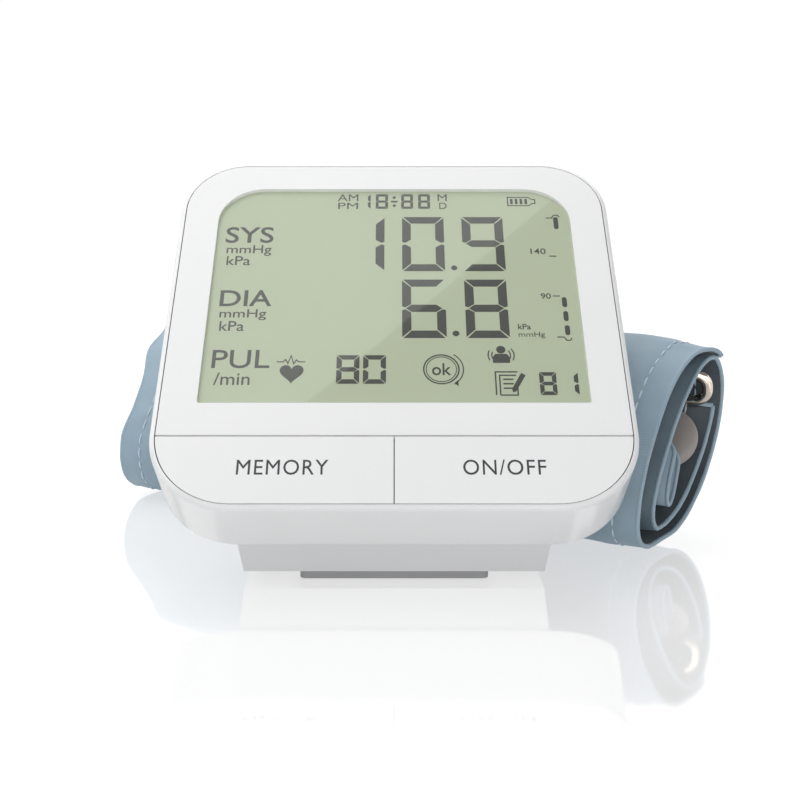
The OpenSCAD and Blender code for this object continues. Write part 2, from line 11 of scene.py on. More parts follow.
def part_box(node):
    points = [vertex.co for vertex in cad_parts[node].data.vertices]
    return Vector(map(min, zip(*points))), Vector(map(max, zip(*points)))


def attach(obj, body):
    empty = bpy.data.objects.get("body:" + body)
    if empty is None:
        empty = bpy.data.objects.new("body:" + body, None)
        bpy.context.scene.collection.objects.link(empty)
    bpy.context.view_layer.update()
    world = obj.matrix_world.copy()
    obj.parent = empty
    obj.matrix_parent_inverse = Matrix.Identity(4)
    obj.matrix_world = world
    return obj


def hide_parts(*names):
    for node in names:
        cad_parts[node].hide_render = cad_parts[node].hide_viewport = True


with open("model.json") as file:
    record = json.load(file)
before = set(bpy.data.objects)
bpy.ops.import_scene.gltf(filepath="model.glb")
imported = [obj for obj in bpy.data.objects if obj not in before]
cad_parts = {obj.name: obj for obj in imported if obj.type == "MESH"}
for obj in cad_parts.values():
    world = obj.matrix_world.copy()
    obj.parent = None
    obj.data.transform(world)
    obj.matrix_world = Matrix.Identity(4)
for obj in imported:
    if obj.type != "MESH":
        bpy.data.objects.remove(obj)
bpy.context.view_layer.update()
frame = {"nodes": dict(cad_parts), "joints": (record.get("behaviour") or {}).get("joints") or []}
NODES = frame["nodes"]
JOINTS = {j["name"]: j for j in frame["joints"]}
MM = 0.001
SCENE = bpy.context.scene

# ---------------------------------------------------------------- camera
camera_data = bpy.data.cameras.new("camera")
camera_data.lens = 49.54
camera_data.sensor_width = 36
camera_data.shift_x = 0.0064
camera = bpy.data.objects.new("camera", camera_data)
camera.location = (0.00017, -0.25942, 0.09075)
camera.rotation_euler = (math.radians(90 - 10.295), 0, 0)
SCENE.collection.objects.link(camera)
SCENE.camera = camera

# ---------------------------------------------------------------- frames of the face and the roll
press = Vector(JOINTS["memory_key_press"]["axis"]).normalized()
NORMAL = -press
RIGHT = Vector((1, 0, 0))
UP = NORMAL.cross(RIGHT).normalized()
FACE_D = max(NORMAL.dot(v.co) for v in NODES["face_plate"].data.vertices)
KEY_LOW = min(UP.dot(v.co) for v in NODES["memory_key"].data.vertices)
GAP = 0.25                                   # gap between the keys and the rim, in mm
FACE_ORIGIN = NORMAL * FACE_D + UP * (KEY_LOW - GAP * MM)

ALONG = Vector(JOINTS["ring_swing"]["axis"]).normalized()
if ALONG.x < 0:
    ALONG.negate()
BEHIND = Vector((0, 0, 1)).cross(ALONG).normalized()
CUFF_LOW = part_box("cuff_outer_cover")[0]


def middle_of_roll():
    """Middle of the rolled cuff along its axis, its front side, and half its length."""
    co = [v.co for v in NODES["cuff_outer_cover"].data.vertices]
    s = [ALONG.dot(c) for c in co]
    u = [BEHIND.dot(c) for c in co]
    return ALONG * (min(s) + max(s)) / 2, min(u), (max(s) - min(s)) / 2


def on_face(x, y, z=0.0):
    """Point on the tilted face: x to the right of its middle, y up its slope, z out of it, in mm."""
    return FACE_ORIGIN + RIGHT * (x * MM) + UP * (y * MM) + NORMAL * (z * MM)


# ---------------------------------------------------------------- material helpers
def new_material(name):
    m = bpy.data.materials.new(name)
    m.use_nodes = True
    tree = m.node_tree
    bsdf = tree.nodes["Principled BSDF"]
    return m, tree, bsdf


def coords(tree):
    """Object coordinates, in metres."""
    return tree.nodes.new("ShaderNodeTexCoord").outputs["Object"]


def noise_tex(tree, scale, detail=3.0, rough=0.5):
    n = tree.nodes.new("ShaderNodeTexNoise")
    n.inputs["Scale"].default_value = scale
    n.inputs["Detail"].default_value = detail
    n.inputs["Roughness"].default_value = rough
    tree.links.new(coords(tree), n.inputs["Vector"])
    return n.outputs["Fac"]


def ramp(tree, source, low, high, a=0.0, b=1.0):
    """Colour ramp from low to high between the factor values a and b."""
    r = tree.nodes.new("ShaderNodeValToRGB")
    r.color_ramp.elements[0].position = a
    r.color_ramp.elements[1].position = b
    r.color_ramp.elements[0].color = low
    r.color_ramp.elements[1].color = high
    tree.links.new(source, r.inputs["Fac"])
    return r.outputs["Color"]


def math_node(tree, operation, a, b):
    """Result of an operation on a and b, each a number or another node's output."""
    n = tree.nodes.new("ShaderNodeMath")
    n.operation = operation
    for socket, value in zip(n.inputs, (a, b)):
        if isinstance(value, float):
            socket.default_value = value
        else:
            tree.links.new(value, socket)
    return n.outputs["Value"]


def map_range(tree, source, from_low, from_high, to_low, to_high):
    n = tree.nodes.new("ShaderNodeMapRange")
    n.inputs["From Min"].default_value = from_low
    n.inputs["From Max"].default_value = from_high
    n.inputs["To Min"].default_value = to_low
    n.inputs["To Max"].default_value = to_high
    tree.links.new(source, n.inputs["Value"])
    return n.outputs[0]


def blend_shaders(tree, kind, first, second):
    """Add or mix node over two shaders."""
    n = tree.nodes.new(kind)
    offset = len(n.inputs) - 2
    tree.links.new(first.outputs[0], n.inputs[offset])
    tree.links.new(second.outputs[0], n.inputs[offset + 1])
    return n


def grey(v):
    return (v, v, v, 1)


def bump(tree, bsdf, source, strength, distance):
    """Bump of the given height in metres; the node is returned for a broader one under it."""
    b = tree.nodes.new("ShaderNodeBump")
    b.inputs["Strength"].default_value = strength
    b.inputs["Distance"].default_value = distance
    tree.links.new(source, b.inputs["Height"])
    tree.links.new(b.outputs["Normal"], bsdf.inputs["Normal"])
    return b


def plastic(name, colour, rough, grain=900.0, spread=0.05, strength=0.08, coat=0.0, tone=0.03,
            specular=0.5):
    """Moulded plastic: fine grain in the bump, a little play in gloss and tone."""
    m, tree, bsdf = new_material(name)
    fine = noise_tex(tree, grain, 4.0, 0.6)
    broad = noise_tex(tree, 22.0, 3.0, 0.5)
    low = tuple(c * (1 - tone) for c in colour[:3]) + (1,)
    high = tuple(min(1.0, c * (1 + tone)) for c in colour[:3]) + (1,)
    tree.links.new(ramp(tree, broad, low, high, 0.3, 0.7), bsdf.inputs["Base Color"])
    tree.links.new(ramp(tree, fine, grey(rough - spread), grey(rough + spread), 0.3, 0.7),
                   bsdf.inputs["Roughness"])
    bump(tree, bsdf, fine, strength, 0.00004)
    bsdf.inputs["Specular IOR Level"].default_value = specular
    if coat:
        bsdf.inputs["Coat Weight"].default_value = coat
        bsdf.inputs["Coat Roughness"].default_value = 0.03
    return m


def metal(name, colour, rough, grain=400.0):
    """Metal with a fine play in tone and gloss."""
    m, tree, bsdf = new_material(name)
    fine = noise_tex(tree, grain, 3.0, 0.6)
    low = tuple(c * 0.9 for c in colour[:3]) + (1,)
    tree.links.new(ramp(tree, fine, low, colour, 0.35, 0.65), bsdf.inputs["Base Color"])
    tree.links.new(ramp(tree, fine, grey(rough * 0.7), grey(rough * 1.3), 0.3, 0.7),
                   bsdf.inputs["Roughness"])
    bsdf.inputs["Metallic"].default_value = 1.0
    bump(tree, bsdf, fine, 0.05, 0.00003)
    return m


YARNS = 640.0                                # wave scale of the weave


def woven(name, pale, dark, uv=True, scale=1.0):
    """Fine woven nylon: crossing yarns in colour, gloss and bump, with broad soft unevenness."""
    m, tree, bsdf = new_material(name)
    if uv:
        base = tree.nodes.new("ShaderNodeUVMap").outputs["UV"]
    else:
        base = coords(tree)
    yarns = []
    for direction in ("X", "Y"):
        wave = tree.nodes.new("ShaderNodeTexWave")
        wave.wave_type = "BANDS"
        wave.bands_direction = direction
        wave.wave_profile = "SIN"
        wave.inputs["Scale"].default_value = YARNS * scale
        wave.inputs["Distortion"].default_value = 0.6
        wave.inputs["Detail"].default_value = 1.0
        tree.links.new(base, wave.inputs["Vector"])
        yarns.append(wave.outputs["Fac"])
    cloth = math_node(tree, "MULTIPLY", yarns[0], yarns[1])
    broad = noise_tex(tree, 38.0, 5.0, 0.6)
    tone = ramp(tree, broad, dark, pale, 0.32, 0.68)
    weave = ramp(tree, cloth, grey(0.88), grey(1.0), 0.0, 0.8)
    both = tree.nodes.new("ShaderNodeMix")
    both.data_type = "RGBA"
    both.blend_type = "MULTIPLY"
    both.inputs["Factor"].default_value = 1.0
    tree.links.new(tone, both.inputs[6])          # colour A
    tree.links.new(weave, both.inputs[7])         # colour B
    tree.links.new(both.outputs[2], bsdf.inputs["Base Color"])
    tree.links.new(ramp(tree, cloth, grey(0.52), grey(0.7), 0.0, 1.0),
                   bsdf.inputs["Roughness"])
    bsdf.inputs["Sheen Weight"].default_value = 0.25
    bsdf.inputs["Sheen Roughness"].default_value = 0.4
    bsdf.inputs["Sheen Tint"].default_value = (0.8, 0.88, 0.95, 1)
    b = bump(tree, bsdf, cloth, 0.18, 0.00008)
    soft = tree.nodes.new("ShaderNodeBump")
    soft.inputs["Strength"].default_value = 0.35
    soft.inputs["Distance"].default_value = 0.0012
    tree.links.new(noise_tex(tree, 60.0, 3.0, 0.5), soft.inputs["Height"])
    tree.links.new(soft.outputs["Normal"], b.inputs["Normal"])
    return m


CASE = plastic("case_white_gloss", (0.9, 0.905, 0.91, 1), 0.2, strength=0.03, coat=0.25)
FACE = plastic("face_white_gloss", (0.94, 0.94, 0.94, 1), 0.24, grain=1400.0, strength=0.02,
               coat=0.02, tone=0.008, specular=0.16)
BASE = plastic("base_white_satin", (0.76, 0.765, 0.77, 1), 0.36, grain=700.0, strength=0.15)
FOOT = plastic("foot_rubber_grey", (0.34, 0.34, 0.35, 1), 0.6, grain=600.0, strength=0.3)
DARK = plastic("dark_plastic", (0.025, 0.026, 0.028, 1), 0.42)
GREY = plastic("grey_plastic", (0.24, 0.245, 0.25, 1), 0.4)
PORT = plastic("port_rubber_warm_grey", (0.37, 0.335, 0.315, 1), 0.45, grain=500.0, strength=0.25,
               tone=0.08)
BOARD = plastic("circuit_board_green", (0.02, 0.13, 0.05, 1), 0.4)
BLUE = plastic("pack_wrap_blue", (0.03, 0.09, 0.42, 1), 0.3)
RUBBER = plastic("rubber_black", (0.02, 0.02, 0.02, 1), 0.6, strength=0.3)
IVORY = plastic("silicone_ivory", (0.72, 0.7, 0.62, 1), 0.45)
STEEL = metal("zinc_steel", (0.62, 0.62, 0.63, 1), 0.3)
GOLD = metal("contact_brass", (0.8, 0.58, 0.24, 1), 0.25)
COPPER = metal("rotor_iron", (0.35, 0.3, 0.28, 1), 0.4)
RING = metal("ring_chrome_warm", (0.95, 0.84, 0.72, 1), 0.1, grain=150.0)
FABRIC = woven("cuff_nylon", (0.365, 0.49, 0.585, 1), (0.305, 0.42, 0.505, 1))
# painted shade: a darker copy of the nylon for the covered turns, the ring sleeve and the hidden inner
# pieces
NYLON_PAINTED_SHADE = woven("cuff_nylon_painted_shade", (0.21, 0.28, 0.335, 1), (0.165, 0.225, 0.27, 1))
# painted shade: a much darker copy of the nylon for the band's inner face, inside the roll
NYLON_DEEP_PAINTED_SHADE = woven("cuff_inner_face_painted_shade", (0.085, 0.11, 0.13, 1), (0.06, 0.078, 0.092, 1))
PIPING = woven("cuff_binding", (0.4, 0.53, 0.62, 1), (0.34, 0.46, 0.55, 1), uv=False, scale=1.4)
THREAD = plastic("stitch_thread_pale", (0.62, 0.74, 0.8, 1), 0.6, grain=3000.0, strength=0.4)
HOOK = plastic("hook_tape_grey", (0.1, 0.105, 0.11, 1), 0.8, grain=1800.0, strength=1.0)
INK = plastic("lcd_segment_dark", (0.075, 0.08, 0.07, 1), 0.5, tone=0.05)
PRINT = plastic("print_dark_grey", (0.045, 0.047, 0.05, 1), 0.45, tone=0.05)


def lcd_material():
    """Grey-green face of the display, matt and slightly uneven."""
    m, tree, bsdf = new_material("lcd_grey_green")
    fine = noise_tex(tree, 260.0, 3.0, 0.5)
    broad = noise_tex(tree, 14.0, 2.0, 0.5)
    tone = ramp(tree, broad, (0.56, 0.625, 0.455, 1), (0.585, 0.65, 0.475, 1), 0.3, 0.7)
    tree.links.new(tone, bsdf.inputs["Base Color"])
    tree.links.new(ramp(tree, fine, grey(0.5), grey(0.62), 0.3, 0.7), bsdf.inputs["Roughness"])
    bsdf.inputs["Specular IOR Level"].default_value = 0.2
    bump(tree, bsdf, fine, 0.05, 0.00002)
    return m


def glass_material():
    """Clear window: see-through with a glossy front whose reflection grows at a low angle."""
    m, tree, bsdf = new_material("window_clear_gloss")
    layer = tree.nodes.new("ShaderNodeLayerWeight")
    layer.inputs["Blend"].default_value = 0.12
    tree.links.new(ramp(tree, layer.outputs["Fresnel"], grey(0.014), grey(0.6), 0.0, 1.0),
                   bsdf.inputs["Alpha"])
    fine = noise_tex(tree, 30.0, 2.0, 0.4)
    tree.links.new(ramp(tree, fine, grey(0.02), grey(0.035), 0.3, 0.7), bsdf.inputs["Roughness"])
    bsdf.inputs["Base Color"].default_value = (0.9, 0.92, 0.9, 1)
    bsdf.inputs["Metallic"].default_value = 1.0
    m.surface_render_method = "BLENDED"
    return m


LCD = lcd_material()
GLASS = glass_material()

FINISH = {
    "front_housing": CASE, "face_plate": FACE, "memory_key": FACE, "on_off_key": FACE,
    "rear_housing": BASE, "battery_door": BASE, "front_foot": FOOT, "rear_feet": FOOT,
    "display_window": GLASS, "polariser_film": LCD, "lcd_glass": LCD, "lcd_reflector": STEEL,
    "lcd_carrier": GREY, "zebra_strips": RUBBER, "memory_switch": DARK, "on_off_switch": DARK,
    "memory_plunger": GREY, "on_off_plunger": GREY, "key_board": BOARD, "main_board": BOARD,
    "board_screws": STEEL, "processor": DARK, "pressure_sensor": DARK, "buzzer": DARK,
    "board_cable": IVORY, "housing_screws": STEEL, "battery_pack": BLUE, "battery_contacts": GOLD,
    "charging_socket": STEEL, "motor_can": STEEL, "motor_rotor": COPPER, "pump_head": DARK,
    "pump_cradle": GREY, "valve_body": IVORY, "valve_plunger": STEEL, "air_manifold": IVORY,
    "air_tubes": IVORY, "air_socket": GREY, "socket_seal": RUBBER, "air_bladder": RUBBER,
    # the darker nylon copy on the ring sleeve, closing flap and inner cover is painted shade
    "hook_patch": HOOK, "d_ring": RING, "cuff_air_port": PORT, "ring_sleeve": NYLON_PAINTED_SHADE,
    "closing_flap": NYLON_PAINTED_SHADE, "cuff_outer_cover": FABRIC, "cuff_inner_cover": NYLON_PAINTED_SHADE,
}
for name, obj in NODES.items():
    obj.data.materials.clear()
    obj.data.materials.append(FINISH[name])


# ---------------------------------------------------------------- mesh helpers
def add_mesh(name, verts, faces, material, body, smooth=False):
    """New piece from points in metres; it rides on the body and takes the slot's finish."""
    mesh = bpy.data.meshes.new(name)
    mesh.from_pydata([tuple(v) for v in verts], [], faces)
    mesh.validate()
    mesh.materials.append(material)
    if smooth:
        mesh.polygons.foreach_set("use_smooth", [True] * len(mesh.polygons))
    obj = bpy.data.objects.new(name, mesh)
    SCENE.collection.objects.link(obj)
    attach(obj, body)
    return obj


def face_outward(mesh):
    """Turns every face's front side outward."""
    bm = bmesh.new()
    bm.from_mesh(mesh)
    bmesh.ops.recalc_face_normals(bm, faces=bm.faces)
    bm.to_mesh(mesh)
    bm.free()


def arc(a0, a1, steps):
    """Angles in radians from a0 to a1 degrees."""
    return [math.radians(a0 + (a1 - a0) * i / steps) for i in range(steps + 1)]


class Flat:
    """Collects flat shapes on the face, in mm, and makes one mesh of thin closed plates."""

    def __init__(self, low, high):
        self.low, self.high = low, high
        self.verts, self.faces = [], []

    def shape(self, points):
        """Plate with this outline, in either direction."""
        area = sum(a[0] * b[1] - b[0] * a[1] for a, b in zip(points, points[1:] + points[:1]))
        if area < 0:
            points = points[::-1]
        n, k = len(points), len(self.verts)
        self.verts += [on_face(x, y, self.low) for x, y in points]
        self.verts += [on_face(x, y, self.high) for x, y in points]
        self.faces.append([k + n + i for i in range(n)])
        self.faces.append([k + i for i in reversed(range(n))])
        for i in range(n):
            j = (i + 1) % n
            self.faces.append([k + i, k + j, k + n + j, k + n + i])

    def box(self, x0, y0, x1, y1):
        self.shape([(x0, y0), (x1, y0), (x1, y1), (x0, y1)])

    def stroke(self, points, width, closed=False):
        """Line of constant width through the points."""
        pts = [Vector(p) for p in points]
        n = len(pts)
        left, right = [], []
        for i, p in enumerate(pts):
            a = pts[(i - 1) % n] if closed or i else p
            b = pts[(i + 1) % n] if closed or i < n - 1 else p
            d1 = (p - a).normalized() if (p - a).length > 1e-9 else (b - p).normalized()
            d2 = (b - p).normalized() if (b - p).length > 1e-9 else d1
            t = (d1 + d2).normalized()
            side = Vector((-t.y, t.x)) * (width / 2 / max(0.4, t.dot(d1)))
            left.append(p + side)
            right.append(p - side)
        for i in range(n if closed else n - 1):
            j = (i + 1) % n
            self.shape([tuple(left[i]), tuple(left[j]), tuple(right[j]), tuple(right[i])])

    def capsule(self, x, y0, y1, r):
        """Upright bar with round ends."""
        pts = [(x + r * math.cos(a), y1 - r + r * math.sin(a)) for a in arc(0, 180, 8)]
        pts += [(x + r * math.cos(a), y0 + r + r * math.sin(a)) for a in arc(180, 360, 8)]
        self.shape(pts)

    def ring(self, x, y, r, width, a0=0, a1=360, steps=40):
        """Ring, or an arc of it from a0 to a1 degrees."""
        pts = [(x + r * math.cos(a), y + r * math.sin(a)) for a in arc(a0, a1, steps)]
        full = a1 - a0 >= 360
        self.stroke(pts[:-1] if full else pts, width, full)

    def disc(self, x, y, r):
        self.shape([(x + r * math.cos(a), y + r * math.sin(a)) for a in arc(0, 360, 24)[:-1]])

    def build(self, name, material, body):
        return add_mesh(name, self.verts, self.faces, material, body)


SEGMENTS = {"0": "abcdef", "1": "bc", "6": "acdefg", "8": "abcdefg", "9": "abcdfg"}


def digit(flat, char, x0, y0, x1, y1, w):
    """Seven-segment digit in a box; w is the width of a bar."""
    ym = (y0 + y1) / 2
    g = w * 0.14                             # gap between bars
    h = w / 2
    for seg in SEGMENTS[char]:
        if seg in "ad":
            y_out, s = (y1, -1) if seg == "a" else (y0, 1)
            flat.shape([(x0 + g, y_out), (x1 - g, y_out),
                        (x1 - w - g * 0.2, y_out + s * w), (x0 + w + g * 0.2, y_out + s * w)])
        elif seg == "g":
            left, right = x0 + w + g * 0.4, x1 - w - g * 0.4
            flat.shape([(x0 + g + h * 0.55, ym), (left, ym + h), (right, ym + h),
                        (x1 - g - h * 0.55, ym), (right, ym - h), (left, ym - h)])
        else:
            right = seg in "bc"
            top = seg in "bf"
            xo, s = (x1, -1) if right else (x0, 1)
            ya, yb = (ym + g, y1 - g) if top else (ym - g, y0 + g)
            t = 1 if top else -1
            flat.shape([(xo, ya + t * h * 0.25), (xo, yb), (xo + s * w, yb - t * w),
                        (xo + s * w, ya + t * h * 0.9), (xo + s * h * 0.7, ya)])


def lettering(name, text, box, z, material, body, bold=0.0, depth=0.02, spacing=1.0):
    """Plain sans lettering fitted to a box on the face, as a thin closed mesh."""
    curve = bpy.data.curves.new(name, "FONT")
    curve.body = text
    curve.size = 1.0
    curve.offset = bold
    curve.space_character = spacing
    curve.extrude = 0.01
    curve.resolution_u = 4
    temp = bpy.data.objects.new(name + "_curve", curve)
    SCENE.collection.objects.link(temp)
    bpy.context.view_layer.update()
    mesh = bpy.data.meshes.new_from_object(temp.evaluated_get(bpy.context.evaluated_depsgraph_get()))
    bpy.data.objects.remove(temp)
    xs = [v.co.x for v in mesh.vertices]
    ys = [v.co.y for v in mesh.vertices]
    x0, y0, x1, y1 = box
    kx = (x1 - x0) / (max(xs) - min(xs))
    ky = (y1 - y0) / (max(ys) - min(ys))
    for v in mesh.vertices:
        v.co = on_face(x0 + (v.co.x - min(xs)) * kx, y0 + (v.co.y - min(ys)) * ky,
                       z + (depth if v.co.z > 0 else 0))
    mesh.materials.clear()
    mesh.materials.append(material)
    obj = bpy.data.objects.new(name, mesh)
    SCENE.collection.objects.link(obj)
    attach(obj, body)
    return obj


# ---------------------------------------------------------------- display content, in mm on the face
Z0, Z1 = -1.05, -1.015                       # under the clear window, on the display
main = Flat(Z0, Z1)
digit(main, "1", -10.4, 69.0, -2.6, 87.9, 2.3)
digit(main, "0", 2.1, 69.0, 13.2, 87.9, 2.3)
main.disc(15.6, 70.1, 0.8)
digit(main, "9", 18.0, 69.0, 29.0, 87.9, 2.3)
digit(main, "6", 2.0, 47.3, 13.1, 66.1, 2.3)
main.disc(15.4, 48.7, 0.85)
digit(main, "8", 18.0, 47.3, 28.8, 66.1, 2.3)
digit(main, "8", -14.1, 33.5, -8.5, 42.0, 1.3)
digit(main, "0", -7.6, 33.5, -2.0, 42.0, 1.3)
digit(main, "8", 35.2, 30.2, 39.3, 36.9, 1.05)
digit(main, "1", 41.2, 30.2, 44.6, 36.9, 1.05)
main.build("lcd_readings", INK, "console")

clock = Flat(Z0, Z1)
digit(clock, "1", -8.9, 91.0, -6.4, 96.3, 0.75)
digit(clock, "8", -5.0, 91.0, -1.7, 96.3, 0.75)
clock.box(-0.9, 93.3, 0.9, 93.9)
clock.disc(0.0, 95.1, 0.45)
clock.disc(0.0, 92.1, 0.45)
digit(clock, "8", 1.9, 91.0, 5.1, 96.3, 0.75)
digit(clock, "8", 6.5, 91.0, 9.7, 96.3, 0.75)
clock.build("lcd_clock", INK, "console")

icons = Flat(Z0, Z1)
# battery sign
icons.stroke([(30.8, 92.1), (36.4, 92.1), (37.4, 92.9), (38.2, 92.9), (38.2, 94.4), (37.4, 94.4),
              (36.4, 95.2), (30.8, 95.2)], 0.3, True)
for i in range(4):
    icons.box(31.5 + 1.3 * i, 92.7, 32.2 + 1.3 * i, 94.6)
# bar scale with its ticks
for y0, y1 in ((83.6, 87.9), (57.1, 60.3), (52.6, 55.8), (48.2, 51.3)):
    icons.capsule(43.3, y0, y1, 0.62)
for x, y in ((41.6, 87.6), (41.6, 74.1), (41.4, 60.7), (41.5, 47.6)):
    icons.box(x - 0.9, y - 0.16, x + 0.9, y + 0.16)
icons.stroke([(42.3, 87.7), (42.9, 88.6), (43.9, 88.6), (44.4, 87.9)], 0.3)
icons.stroke([(42.4, 47.4), (42.9, 46.6), (43.8, 46.6), (44.2, 47.3)], 0.3)
# heart with a pulse line
heart = []
for i in range(36):
    t = math.radians(10 * i)
    hx = 16 * math.sin(t) ** 3
    hy = 13 * math.cos(t) - 5 * math.cos(2 * t) - 2 * math.cos(3 * t) - math.cos(4 * t)
    heart.append((-25.0 + hx * 0.183, 36.7 + hy * 0.193))
icons.shape(heart)
icons.stroke([(-28.8, 40.0), (-27.2, 40.0), (-26.6, 40.7), (-26.0, 39.5), (-25.3, 41.9), (-24.6, 39.4),
              (-24.0, 40.6), (-23.4, 40.0), (-21.8, 40.0)], 0.3)
# double circle with an arrow, around the "ok"
icons.ring(11.5, 37.8, 4.3, 0.36)
icons.ring(11.5, 37.8, 3.7, 0.22)
icons.ring(11.5, 37.8, 5.4, 0.28, -55, 55, 16)
icons.shape([(14.6, 33.6), (15.6, 32.8), (15.5, 34.6)])
# head and shoulders sign between two pairs of arcs
icons.disc(26.3, 43.7, 1.15)
icons.shape([(24.2, 39.7), (28.4, 39.7), (28.4, 41.4), (27.7, 42.4), (24.9, 42.4), (24.2, 41.4)])
for side in (-1, 1):
    for r in (2.3, 3.2):
        a = 0 if side > 0 else 180
        icons.ring(26.3, 42.0, r, 0.3, a - 28, a + 38 if side > 0 else a + 28, 8)
# written sheet with a pen
icons.stroke([(24.6, 30.2), (24.6, 37.0), (30.0, 37.0)], 0.35)
icons.stroke([(25.6, 30.2), (29.8, 30.2), (29.8, 32.4)], 0.35)
icons.stroke([(25.6, 30.2), (25.6, 36.0), (29.6, 36.0)], 0.35)
for y in (34.8, 33.5, 32.2):
    icons.box(26.4, y - 0.2, 28.9, y + 0.2)
icons.shape([(28.6, 31.0), (29.4, 31.3), (31.9, 36.0), (30.9, 36.7), (28.4, 32.0)])
icons.build("lcd_symbols", INK, "console")

# piece name, text, box (x0, y0, x1, y1), boldness
LCD_TEXT = [
    ("sys", "SYS", (-44.7, 78.7, -32.0, 84.3), 0.01),
    ("mmhg_1", "mmHg", (-44.1, 74.2, -32.3, 77.9), 0.006),
    ("kpa_1", "kPa", (-43.8, 71.0, -37.6, 74.1), 0.004),
    ("dia", "DIA", (-44.4, 57.4, -31.2, 62.6), 0.01),
    ("mmhg_2", "mmHg", (-44.1, 52.9, -32.3, 56.4), 0.006),
    ("kpa_2", "kPa", (-43.8, 49.5, -37.6, 52.6), 0.004),
    ("pul", "PUL", (-44.7, 38.1, -30.5, 43.6), 0.004),
    ("per_min", "/min", (-43.8, 33.1, -35.0, 36.8), 0.004),
    ("am", "AM", (-15.4, 93.8, -9.8, 96.3), 0.0),
    ("pm", "PM", (-15.2, 90.9, -9.8, 93.2), 0.0),
    ("m", "M", (11.8, 93.8, 14.3, 96.3), 0.0),
    ("d", "D", (12.2, 90.9, 14.2, 93.2), 0.0),
    ("kpa_3", "kPa", (31.0, 50.0, 34.2, 51.7), 0.012),
    ("mmhg_3", "mmHg", (31.0, 47.2, 37.6, 49.2), 0.0),
    ("v140", "140", (35.8, 74.8, 39.8, 76.8), 0.008),
    ("v90", "90", (37.4, 59.8, 40.0, 61.6), 0.008),
    ("ok", "ok", (9.2, 36.0, 13.9, 39.6), 0.01),
]
for key, text, place, bold in LCD_TEXT:
    lettering("lcd_label_" + key, text, place, Z0, INK, "console", bold, 0.03)

PRINT_LOW, PRINT_DEPTH, PRINT_SPACING = -0.02, 0.05, 1.1
for label, text, place, body in (
        ("memory", "MEMORY", (-36.1, 7.6, -15.1, 11.6), "memory_key"),
        ("power", "ON/OFF", (15.8, 7.6, 34.8, 11.6), "on_off_key")):
    lettering("key_label_" + label, text, place, PRINT_LOW, PRINT, body, 0.0, PRINT_DEPTH,
              PRINT_SPACING)


# ---------------------------------------------------------------- painted shadow: a dark ribbon in the gap around the face
def face_loop(half, low, high, r_low, r_high, steps=14):
    """Rounded outline, anticlockwise from the lower right corner."""
    corners = ((half - r_low, low + r_low, r_low, 270), (half - r_high, high - r_high, r_high, 0),
               (r_high - half, high - r_high, r_high, 90), (r_low - half, low + r_low, r_low, 180))
    return [(x + r * math.cos(t), y + r * math.sin(t)) for x, y, r, a in corners
            for t in arc(a, a + 90, steps)]


# corner radii of the slab, lower and upper, and the distance from its side to the gap's middle
CORNER_LOW, CORNER_HIGH, RIM_TO_GAP = 19, 16, 1.425
plate_half = max(v.co.x for v in NODES["face_plate"].data.vertices) / MM
plate_top = (max(UP.dot(v.co) for v in NODES["face_plate"].data.vertices) - UP.dot(FACE_ORIGIN)) / MM
# painted shadow: a thin dark ribbon set down in the gap around the face and between the keys, where there
# is only shade
gap_shadow = Flat(-1.6, -0.35)
gap_shadow.stroke(face_loop(plate_half + GAP / 2, GAP / 2, plate_top + GAP / 2,
                        CORNER_LOW - RIM_TO_GAP, CORNER_HIGH - RIM_TO_GAP), 0.2, True)
gap_shadow.box(-0.1, 0.6, 0.1, 17.6)             # between the two keys
gap_shadow.build("face_gap_painted_shadow", DARK, "console")

# ---------------------------------------------------------------- rolled cuff, in mm and degrees
# A turn's angle is 0 at the back, 90 at the top, 180 at the front and 270 at the bottom.
ROLL_A, ROLL_B, LEAN = 21.0, 32.0, math.radians(35)     # the roll's oval: half width, half height, lean
PITCH, ZERO = 3.8, 40.0                      # the spiral's step inward in each turn, from this angle
LOOSE, LOOSE_BACK = 5.0, 1.8                 # how far the inner turns stand off, in front and behind
LOOSE_FROM, LOOSE_BACK_FROM = 440, 632       # the angles where they begin to
START, END, CAD_START = 84.0, 764.0, 76.0    # where the band starts and ends
BAND = 3.4                                   # thickness of the band
SEAM_AT = 7.0                                # distance of the seam from the hem
HEM_OUT, HEM_SLANT = 4.5, 0.34               # the right hem past the CAD's end, and its slant
HEM_IN, HEM_STEP = 1.6, 4.4                  # the left hem short of the CAD's end, and its step
FLARE_RIGHT, FLARE_LEFT, DROOP = 9.5, 5.0, 0.42         # loose lower corners; how much of that goes down
TUCK, TUCK_ARC = 2.3, 85                     # the outer end's right corner is tucked in
FLOOR_GAP, TURN_RISE = 0.45, 3.3             # lowest place of the outer turn, and of each turn within it


def inset(a, depth):
    """Distance from the roll's oval in to the point at this depth in the band."""
    sag = 0.0
    if a >= LOOSE_BACK_FROM:
        sag = LOOSE_BACK * max(0.0, math.cos(math.radians(a)))
    elif a >= LOOSE_FROM:
        sag = LOOSE * max(0.0, -math.cos(math.radians(a)))
    return depth + PITCH * (a - ZERO) / 360 + sag


def oval(a, depth):
    """Point (u to the back, w up) of the spiral at angle a, in mm from the roll's middle."""
    t = math.radians(a)
    p = (ROLL_A - inset(a, depth)) * math.cos(t)
    q = (ROLL_B - inset(a, depth)) * math.sin(t)
    return lean(p, q)


def lean(p, q):
    """Turns a point of the upright oval by the roll's lean."""
    return p * math.cos(LEAN) + q * math.sin(LEAN), q * math.cos(LEAN) - p * math.sin(LEAN)


